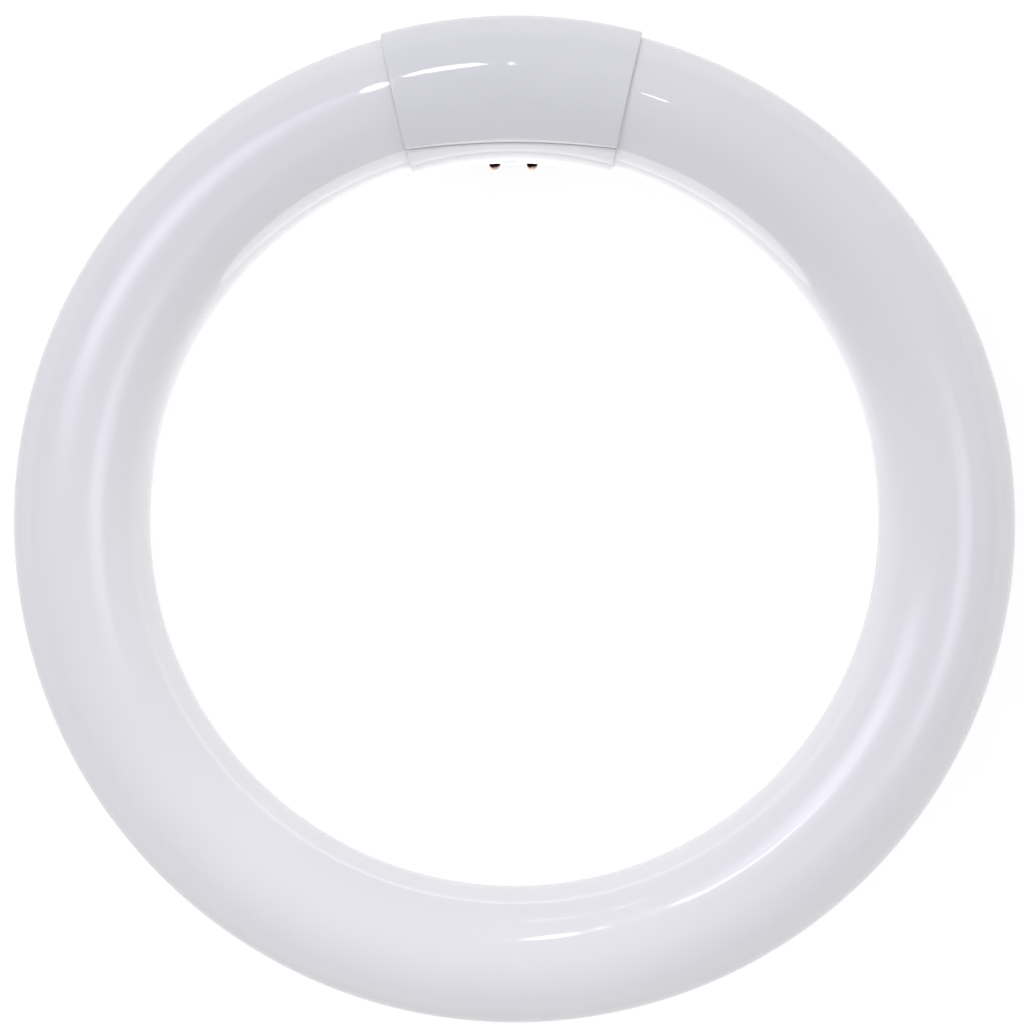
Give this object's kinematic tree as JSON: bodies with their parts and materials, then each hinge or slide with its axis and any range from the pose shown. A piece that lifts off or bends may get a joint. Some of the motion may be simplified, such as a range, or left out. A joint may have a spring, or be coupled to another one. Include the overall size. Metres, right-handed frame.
{
  "type": "circular fluorescent tube",
  "caption": "White circular fluorescent tube, a closed glass ring with a two-shell plastic base and brass contact pins that point down and inwards.",
  "frame": {"origin": "on the ring's axis, at the height of the surface that the lamp lies on (the lower pins' tips)", "axes": "+Z along the ring's axis, away from the pins; +Y from the ring's centre to the middle of the base; +X along the tube at the base"},
  "size_m": [0.2096, 0.2107, 0.0317],
  "materials": {
    "coated_glass": "polished clear glass over a matt white inner coating, so it looks like gloss white porcelain",
    "base_plastic": "smooth white moulding, semi-gloss",
    "pin_brass": "drawn brass with a darker skin, tips rubbed bright",
    "lead_wire_metal": "tinned drawn wire"
  },
  "bodies": {
    "root": {"glass_ring": "coated_glass", "base_outer_shell": "base_plastic", "base_pin_shell": "base_plastic", "contact_pin_1": "pin_brass", "contact_pin_2": "pin_brass", "contact_pin_3": "pin_brass", "contact_pin_4": "pin_brass", "lead_wire_1": "lead_wire_metal", "lead_wire_2": "lead_wire_metal", "lead_wire_3": "lead_wire_metal", "lead_wire_4": "lead_wire_metal"}
  },
  "joints": []
}
